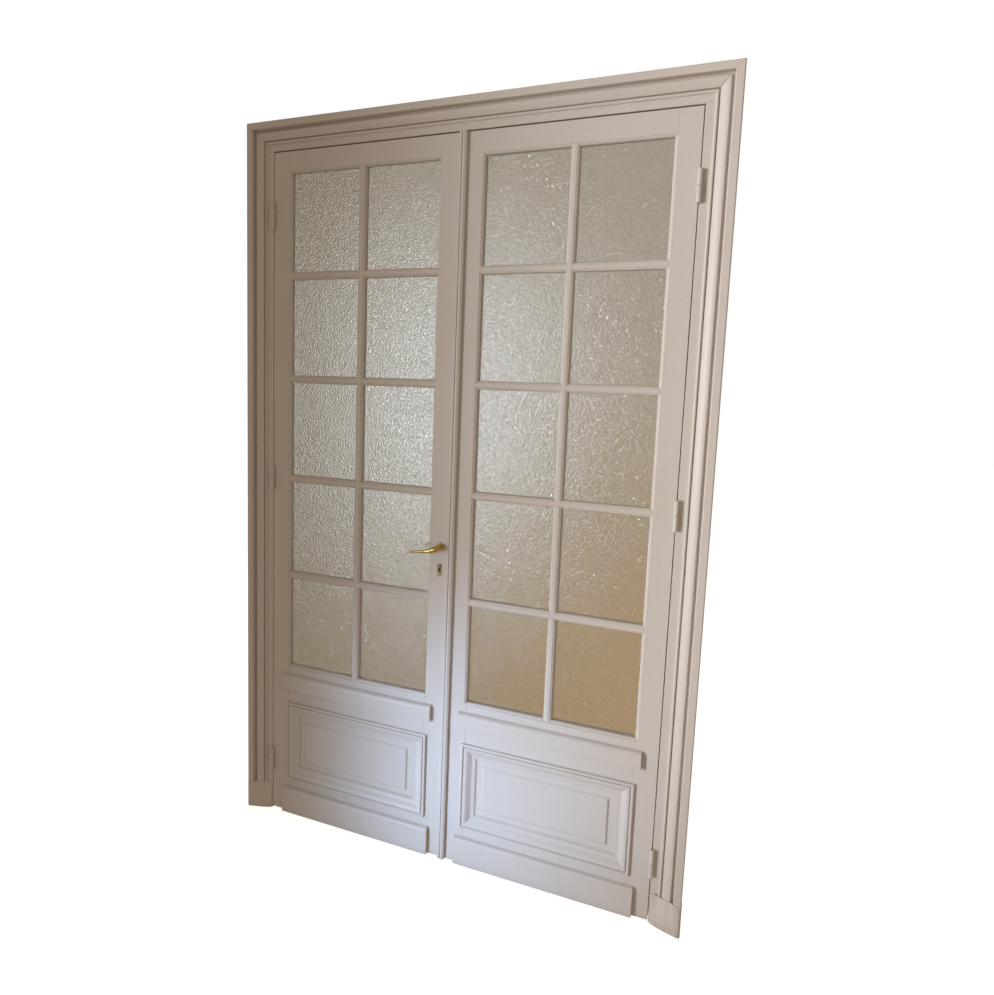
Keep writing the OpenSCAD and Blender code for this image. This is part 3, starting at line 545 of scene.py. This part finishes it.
class DOORS_OT_frame(bpy.types.Operator):
    """Jambs, head and architrave"""
    bl_idname = "doors.frame"
    bl_label = "Frame"

    def execute(self, context):
        width = context.scene.doors_paint.edge_round
        for node in ("jamb_left", "jamb_right", "architrave_left", "architrave_right",
                     "head_jamb", "architrave_head"):
            finish = finishes()["frame_level" if "head" in node else "frame_upright"]
            settle(softened(node, node + "_painted", finish, width), "frame", "frame_paint", node)
        return {"FINISHED"}


class DOORS_OT_plinths(bpy.types.Operator):
    """Plinth blocks under the architrave"""
    bl_idname = "doors.plinths"
    bl_label = "Plinth blocks"

    def execute(self, context):
        width = context.scene.doors_paint.edge_round
        for side in SIDES:
            node = "plinth_block_" + side
            piece = softened(node, node + "_painted", finishes()["frame_upright"], 1.6 * width)
            settle(piece, "frame", "frame_paint", node)
        return {"FINISHED"}


class DOORS_OT_hinges(bpy.types.Operator):
    """Both halves of the painted hinges"""
    bl_idname = "doors.hinges"
    bl_label = "Hinges"

    def execute(self, context):
        for side in SIDES:
            for half, body in (("frame", "frame"), ("leaf", side + "_leaf")):
                node = f"hinge_{half}_halves_{side}"
                piece = softened(node, node + "_painted", finishes()["leaf_upright"], 0.5 * MM)
                settle(piece, body, "painted_steel", node)
        return {"FINISHED"}


# ---------------------------------------------------------------- lever and lock

# Share of the lever's length that its neck takes
NECK_SHARE = 0.34


def lever_handle(name, spindle, outward, look):
    """Hub, neck, collar and grip of a lever that leaves its spindle along outward (-1 front, 1 back)."""
    bm = bmesh.new()
    out = look.reach - look.hub / 2
    around = 32
    stem = [(0.0, 0.0078), (0.15, 0.0078), (0.2, 0.0086), (0.28, 0.0086), (0.33, 0.0068), (1.0, 0.0072)]
    steps = 28
    rings = []
    for k in range(steps + 1):
        t = k / steps
        radius = along_table(stem, t)
        rings.append([spindle + Vector((radius * math.cos(a), outward * (look.rose + (out - look.rose) * t),
                                        radius * math.sin(a)))
                      for a in (2 * math.pi * i / around for i in range(around))])
    skin(bm, rings)
    # (share of the length, half height, half depth)
    heights = [(0.0, 0.2), (0.03, 5.6), (0.10, 9.4), (0.17, 9.9), (0.34, 7.2), (0.50, 5.5), (0.515, 6.4),
               (0.54, 6.4), (0.555, 5.0), (0.60, 4.7), (0.90, 4.3), (0.93, 4.5), (0.96, 4.3),
               (0.985, 2.9), (1.0, 0.2)]
    depths = [(0.0, 0.2), (0.03, 5.2), (0.10, 8.8), (0.17, 9.3), (0.34, 6.6), (0.50, 5.2), (0.515, 6.2),
              (0.54, 6.2), (0.555, 4.8), (0.60, 4.6), (0.90, 4.2), (0.93, 4.4), (0.96, 4.2),
              (0.985, 2.8), (1.0, 0.2)]
    behind = look.hub / 2
    length = look.length + behind
    steps = 120
    rings = []
    for k in range(steps + 1):
        t = k / steps
        along = length * t - behind
        neck = look.length * NECK_SHARE
        fall = math.tan(math.radians(look.neck_fall)) * min(max(along, 0.0), neck)
        fall += math.tan(math.radians(look.grip_fall)) * max(along - neck, 0.0)
        centre = spindle + Vector((-along, outward * out, -fall))
        h = along_table(heights, t) * MM
        d = along_table(depths, t) * MM
        rings.append([centre + Vector((0.0, outward * d * math.cos(a), h * math.sin(a)))
                      for a in (2 * math.pi * i / around for i in range(around))])
    skin(bm, rings)
    mesh = closed_mesh(name, bm)
    smooth_by_angle(mesh, 40.0)
    return mesh


class DOORS_OT_levers(bpy.types.Operator):
    """The lever on each face of the left leaf"""
    bl_idname = "doors.levers"
    bl_label = "Levers"

    def execute(self, context):
        look = context.scene.doors_lever
        for node, outward, face in (("lever_front", -1, LEAF_FACES[0]), ("lever_back", 1, LEAF_FACES[1])):
            axis = Vector((SPINDLE.x, face, SPINDLE.z))
            mesh = lever_handle(node + "_brass", axis, outward, look)
            piece = mesh_object(node + "_brass", mesh, finishes()["lever_brass"])
            settle(piece, "lever_set", "lever_brass", node)
        return {"FINISHED"}


class DOORS_OT_lock_furniture(bpy.types.Operator):
    """Roses, keyhole plates, faceplates and bolts"""
    bl_idname = "doors.lock_furniture"
    bl_label = "Lock furniture"

    def execute(self, context):
        for node, finish in (("roses", "lever_brass"), ("keyhole_plates", "plate_brass")):
            piece = softened(node, node + "_brass", finishes()[finish], 0.5 * MM, 25.0)
            settle(piece, "left_leaf", "lever_brass", node)
        for node in ("lock_faceplate", "latch_bolt", "deadbolt", "strike_plate", "head_keeper",
                     "top_edge_bolt", "bottom_edge_bolt", "edge_bolt_plates"):
            dress(node, "bolt_brass")
        for node in ("lock_case", "lock_follower", "spindle"):
            dress(node, "plain_steel")
        return {"FINISHED"}


def dress(node, finish):
    """Gives a solid that stays its finish."""
    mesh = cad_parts[node].data
    mesh.materials.clear()
    mesh.materials.append(finishes()[finish])


# ---------------------------------------------------------------- stage

# Width and height of the lamps, in metres
KEY_SIZE = (0.5, 3.4)
COOL_SIZE = (0.4, 0.9)
BACK_SIZE = (2.0, 2.0)
# What the lamps point at, and the place of the one behind, from the centre of the leaves' front
KEY_AIM = Vector((1.2, 0.0, 0.5))
COOL_AIM = Vector((0.06, 0.0, -0.95))
BACK_PLACE = Vector((-1.0, 3.4, 0.8))
BACK_COLOUR = (1.0, 0.98, 0.95)
# Azimuths and elevations, in degrees, between which the room behind the glass changes colour
ROOM_ACROSS = (-34.0, -6.0)
ROOM_UP = (-24.0, 6.0)


def area_light(name, place, target, size, power, colour, spread=180.0):
    light = bpy.data.lights.new(name, "AREA")
    light.shape = "RECTANGLE"
    light.size, light.size_y = size
    light.energy = power
    light.color = colour
    light.spread = math.radians(spread)
    lamp = bpy.data.objects.new(name, light)
    lamp.location = place
    lamp.rotation_mode = "QUATERNION"
    lamp.rotation_quaternion = (Vector(target) - Vector(place)).to_track_quat("-Z", "Y")
    lamp.visible_camera = lamp.visible_transmission = False
    bpy.context.scene.collection.objects.link(lamp)


def direction(azimuth, elevation):
    """Unit vector; azimuth from +Y towards +X, in degrees."""
    a, e = math.radians(azimuth), math.radians(elevation)
    return (math.sin(a) * math.cos(e), math.cos(a) * math.cos(e), math.sin(e))


def studio_world(look):
    """White behind the object, an even studio around it, and a room with a bright window behind the glass."""
    s = Shade(bpy.data.worlds.new("studio"))
    path = s.node("LightPath")
    seen = Value(s, path.outputs["Is Camera Ray"])
    through = Value(s, path.outputs["Is Transmission Ray"])
    ray = s.value("TexCoord", "Generated")
    across, along, up = s.parts(ray)
    azimuth = across.math("ARCTAN2", along).math("DEGREES")
    elevation = up.math("ARCSINE").math("DEGREES")

    def outside(angle, middle, half, soft):
        return (angle - middle).math("ABSOLUTE").between(half - soft, half + soft)

    low = s.mix(azimuth.between(*ROOM_ACROSS), opaque(look.room_low_left), opaque(look.room_low_right))
    high = s.mix(azimuth.between(*ROOM_ACROSS), opaque(look.room_high_left), opaque(look.room_high_right))
    room = s.mix(elevation.between(*ROOM_UP), low, high)
    soft = look.window_soft
    pane = ((1.0 - outside(azimuth, look.window_azimuth, look.window_half_width, soft))
            * (1.0 - outside(elevation, look.window_elevation, look.window_half_height, 2 * soft)))
    things = s.noise(ray, look.room_grain, 3.0, 0.6).between(0.34, 0.66)
    contrast = look.room_contrast * (0.45 + 0.55 * pane)
    shaded = s.mix(pane, room, opaque(look.window_colour))
    tone = 1.0 - contrast + 2.0 * contrast * things
    room = s.value("VectorMath", "Vector", {"operation": "SCALE"}, {"Vector": shaded, "Scale": tone})
    behind = s.value("Background", "Background", None, {"Color": room, "Strength": look.room_strength})
    around = s.value("Background", "Background", None,
                     {"Color": opaque(look.ambient), "Strength": look.ambient_strength})
    white = s.value("Background", "Background", None, {"Color": (1.0, 1.0, 1.0, 1.0), "Strength": 1.0})
    lit = s.value("MixShader", "Shader", None, {"Fac": through, "Shader": around, "Shader_001": behind})
    whole = s.value("MixShader", "Shader", None, {"Fac": seen, "Shader": lit, "Shader_001": white})
    s.node("OutputWorld", None, {"Surface": whole})
    return s.owner


def pale_floor(look):
    s = new_material("pale_floor")
    tone = s.noise(s.place(), 0.8, 2.0)
    return s.surface(Base_Color=s.mix(tone, (0.86, 0.86, 0.85, 1.0), (0.90, 0.90, 0.90, 1.0)), Roughness=0.8,
                     Emission_Color=(1.0, 1.0, 1.0, 1.0), Emission_Strength=look.floor_glow)


class DOORS_OT_stage(bpy.types.Operator):
    """Floor, lights, surroundings and camera"""
    bl_idname = "doors.stage"
    bl_label = "Stage"

    def execute(self, context):
        look = context.scene.doors_stage
        scene = context.scene
        bm = bmesh.new()
        bmesh.ops.create_grid(bm, x_segments=8, y_segments=8, size=look.floor_size / 2)
        floor_mesh = bpy.data.meshes.new("floor")
        bm.to_mesh(floor_mesh)
        bm.free()
        floor = mesh_object("floor", floor_mesh, pale_floor(look))
        floor.visible_diffuse = floor.visible_glossy = floor.visible_transmission = False
        scene.world = studio_world(look)
        scene.view_settings.view_transform = "Standard"

        face = LEAF_FACES[0]
        centre = Vector((0.0, face, (SOLID_BOX[0].z + SOLID_BOX[1].z) / 2))
        area_light("key", centre + Vector(look.key_place), centre + KEY_AIM, KEY_SIZE,
                   look.key_power, look.key_colour, look.key_spread)
        area_light("low_cool", centre + Vector(look.cool_place), centre + COOL_AIM, COOL_SIZE,
                   look.cool_power, look.cool_colour, look.cool_spread)
        area_light("back_fill", centre + BACK_PLACE, centre, BACK_SIZE, look.back_power, BACK_COLOUR)

        lens = bpy.data.cameras.new("camera")
        camera = bpy.data.objects.new("camera", lens)
        ahead = Vector(direction(look.camera_azimuth, look.camera_elevation))
        right = ahead.cross(Vector((0.0, 0.0, 1.0))).normalized()
        above = right.cross(ahead)
        roll = math.radians(look.camera_roll)
        across = right * math.cos(roll) + above * math.sin(roll)
        upward = above * math.cos(roll) - right * math.sin(roll)
        turn = Matrix((across, upward, -ahead)).transposed().to_4x4()
        camera.matrix_world = Matrix.Translation(Vector(look.camera_place) + Vector((0.0, face, 0.0))) @ turn
        lens.sensor_width = 36.0
        lens.lens = look.camera_lens
        lens.shift_x, lens.shift_y = look.camera_shift
        scene.collection.objects.link(camera)
        scene.camera = camera
        return {"FINISHED"}


# ---------------------------------------------------------------- settings

def colour(name, description, default):
    return FloatVectorProperty(name=name, description=description, subtype="COLOR", size=3, min=0.0, max=1.0,
                               default=default)


def length(name, description, default):
    return FloatProperty(name=name, description=description, default=default, min=0.0,
                         unit="LENGTH", precision=5)


def number(name, description, default, **limits):
    return FloatProperty(name=name, description=description, default=default, **limits)


def place(name, description, default):
    return FloatVectorProperty(name=name, description=description, default=default,
                               subtype="TRANSLATION")


class PaintSettings(bpy.types.PropertyGroup):
    leaf_colour: colour("Leaf paint", "Colour of the leaves", (0.66, 0.63, 0.585))
    frame_colour: colour("Frame paint", "Colour of the frame", (0.66, 0.62, 0.57))
    yellowed: colour("Yellowed paint", "Colour that the paint has turned in places", (0.62, 0.57, 0.49))
    # Also the colour of the painted shade in corners, and the tint of the brush marks.
    grime_and_shade_colour: colour("Grime", "Colour of the grime in corners", (0.17, 0.13, 0.09))
    bare_wood: colour("Chips", "Colour under the paint where it is chipped", (0.24, 0.18, 0.12))
    # Strength of the painted shade in corners, which patches of grime vary.
    grime_and_shade: number("Grime", "Share of grime in corners", 0.7, min=0.0, max=1.0)
    # Reach of the ambient occlusion that paints shade into the corners.
    grime_and_shade_reach: length("Grime reach", "Distance over which corners are grimy", 0.006)
    brush_depth: length("Brush marks", "Depth of the brush marks", 0.00035)
    edge_round: length("Edge rounding", "Radius that paint and wear give to edges", 0.0011)


class GlassSettings(bpy.types.PropertyGroup):
    tint: colour("Tint", "Colour of the glass", (0.95, 0.95, 0.93))
    roughness: number("Roughness", "Roughness of the glass", 0.03, min=0.0, max=1.0)
    grain: length("Grain", "Size of the hammered grain", 0.0066)
    depth: length("Relief", "Depth of the hammered grain", 0.0006)
    cell: length("Mesh cell", "Size of the faces that carry the relief", 0.00245)
    fine_grain: length("Fine grain", "Size of the finest relief", 0.0043)
    fine_depth: length("Fine relief", "Depth of the finest relief", 0.00115)


class LeverSettings(bpy.types.PropertyGroup):
    bright: colour("Handled brass", "Colour where hands keep it bright", (0.52, 0.41, 0.14))
    dark: colour("Stained brass", "Colour where it has darkened", (0.10, 0.065, 0.02))
    plate: colour("Keyhole plates", "Colour of the keyhole plates", (0.50, 0.47, 0.26))
    length: length("Length", "From the spindle to the tip", SPINDLE.x - LEVER[0].x)
    reach: length("Reach", "From the leaf to the front of the hub", LEAF_FACES[0] - LEVER[0].y)
    hub: length("Hub", "Diameter of the hub", 0.020)
    rose: length("Rose", "Thickness of the rose", 0.004)
    neck_fall: number("Neck fall", "Fall of the neck, in degrees", 19.0)
    grip_fall: number("Grip fall", "Fall of the grip, in degrees", 8.0)


class StageSettings(bpy.types.PropertyGroup):
    floor_size: length("Floor", "Side of the floor", 30.0)
    floor_glow: number("Floor glow", "Light that the floor gives off", 0.8)
    key_place: place("Key light", "Place of the key light from the centre", (-2.3, -2.9, 0.5))
    key_power: number("Key power", "Power of the key light", 13.4, unit="POWER")
    key_colour: colour("Key colour", "Colour of the key light", (0.94, 0.92, 0.95))
    key_spread: number("Key spread", "Spread of the key light, in degrees", 34.0)
    cool_place: place("Cool light", "Place of the low cool light from the centre", (-1.1, -1.9, -0.75))
    cool_power: number("Cool power", "Power of the low cool light", 1.9, unit="POWER")
    cool_colour: colour("Cool colour", "Colour of the low cool light", (0.45, 0.65, 1.0))
    cool_spread: number("Cool spread", "Spread of the cool light, in degrees", 26.0)
    back_power: number("Back power", "Power of the light behind", 20.0, unit="POWER")
    ambient: colour("Ambient", "Colour of the even light", (1.0, 0.80, 0.63))
    ambient_strength: number("Ambient strength", "Strength of the even light", 0.365)
    room_low_left: colour("Room low left", "Colour behind the glass, low on the left", (0.21, 0.16, 0.10))
    room_low_right: colour("Room low right", "Colour behind the glass, low on the right",
                           (0.36, 0.25, 0.14))
    room_high_left: colour("Room high left", "Colour behind the glass, high on the left",
                           (0.20, 0.16, 0.10))
    room_high_right: colour("Room high right", "Colour behind the glass, high on the right",
                            (0.36, 0.31, 0.25))
    room_grain: number("Room grain", "Fineness of what stands in the room behind", 20.0)
    room_contrast: number("Room contrast", "Contrast of what stands there", 1.1)
    room_strength: number("Room strength", "Brightness of the room behind", 1.1)
    window_colour: colour("Window", "Colour of the window behind", (0.72, 0.76, 0.77))
    window_azimuth: number("Window azimuth", "From +Y towards +X, in degrees", -20.4)
    window_elevation: number("Window elevation", "In degrees", -4.0)
    window_half_width: number("Window half width", "In degrees", 6.2)
    window_half_height: number("Window half height", "In degrees", 12.5)
    window_soft: number("Window softness", "Width of its edge, in degrees", 3.5)
    camera_place: place("Camera", "Place from the foot of the meeting line's face",
                        (0.7518, -2.0614, 1.5813))
    camera_azimuth: number("Camera azimuth", "From +Y towards +X, in degrees", -23.20)
    camera_elevation: number("Camera elevation", "In degrees", -7.02)
    camera_roll: number("Camera roll", "In degrees", 1.48)
    camera_lens: number("Lens", "Focal length, in millimetres", 26.19)
    camera_shift: FloatVectorProperty(name="Shift", description="Shift of the lens", size=2,
                                      default=(0.0841, -0.0382))


class DOORS_PT_panel(bpy.types.Panel):
    """Lists the pieces of the doors in the sidebar"""
    bl_label = "Glazed double doors"
    bl_idname = "DOORS_PT_panel"
    bl_space_type = "VIEW_3D"
    bl_region_type = "UI"
    bl_category = "Doors"

    def draw(self, context):
        for operator in PIECES:
            self.layout.operator(operator.bl_idname)
        for group in SETTINGS:
            settings = getattr(context.scene, group)
            box = self.layout.box()
            for name in settings.__annotations__:
                box.prop(settings, name)


SETTINGS = {"doors_paint": PaintSettings, "doors_glass": GlassSettings, "doors_lever": LeverSettings,
            "doors_stage": StageSettings}
PIECES = (DOORS_OT_frame, DOORS_OT_plinths, DOORS_OT_leaves, DOORS_OT_hinges, DOORS_OT_panes,
          DOORS_OT_levers, DOORS_OT_lock_furniture, DOORS_OT_stage)
CLASSES = (*SETTINGS.values(), *PIECES, DOORS_PT_panel)


def register():
    for cls in CLASSES:
        bpy.utils.register_class(cls)
    for name, cls in SETTINGS.items():
        setattr(bpy.types.Scene, name, PointerProperty(type=cls))


def unregister():
    for name in SETTINGS:
        delattr(bpy.types.Scene, name)
    for cls in reversed(CLASSES):
        bpy.utils.unregister_class(cls)


def main():
    register()
    bpy.ops.doors.frame()
    bpy.ops.doors.plinths()
    bpy.ops.doors.leaves()
    bpy.ops.doors.hinges()
    bpy.ops.doors.panes()
    bpy.ops.doors.levers()
    bpy.ops.doors.lock_furniture()
    bpy.ops.doors.stage()


if __name__ == "__main__":
    main()
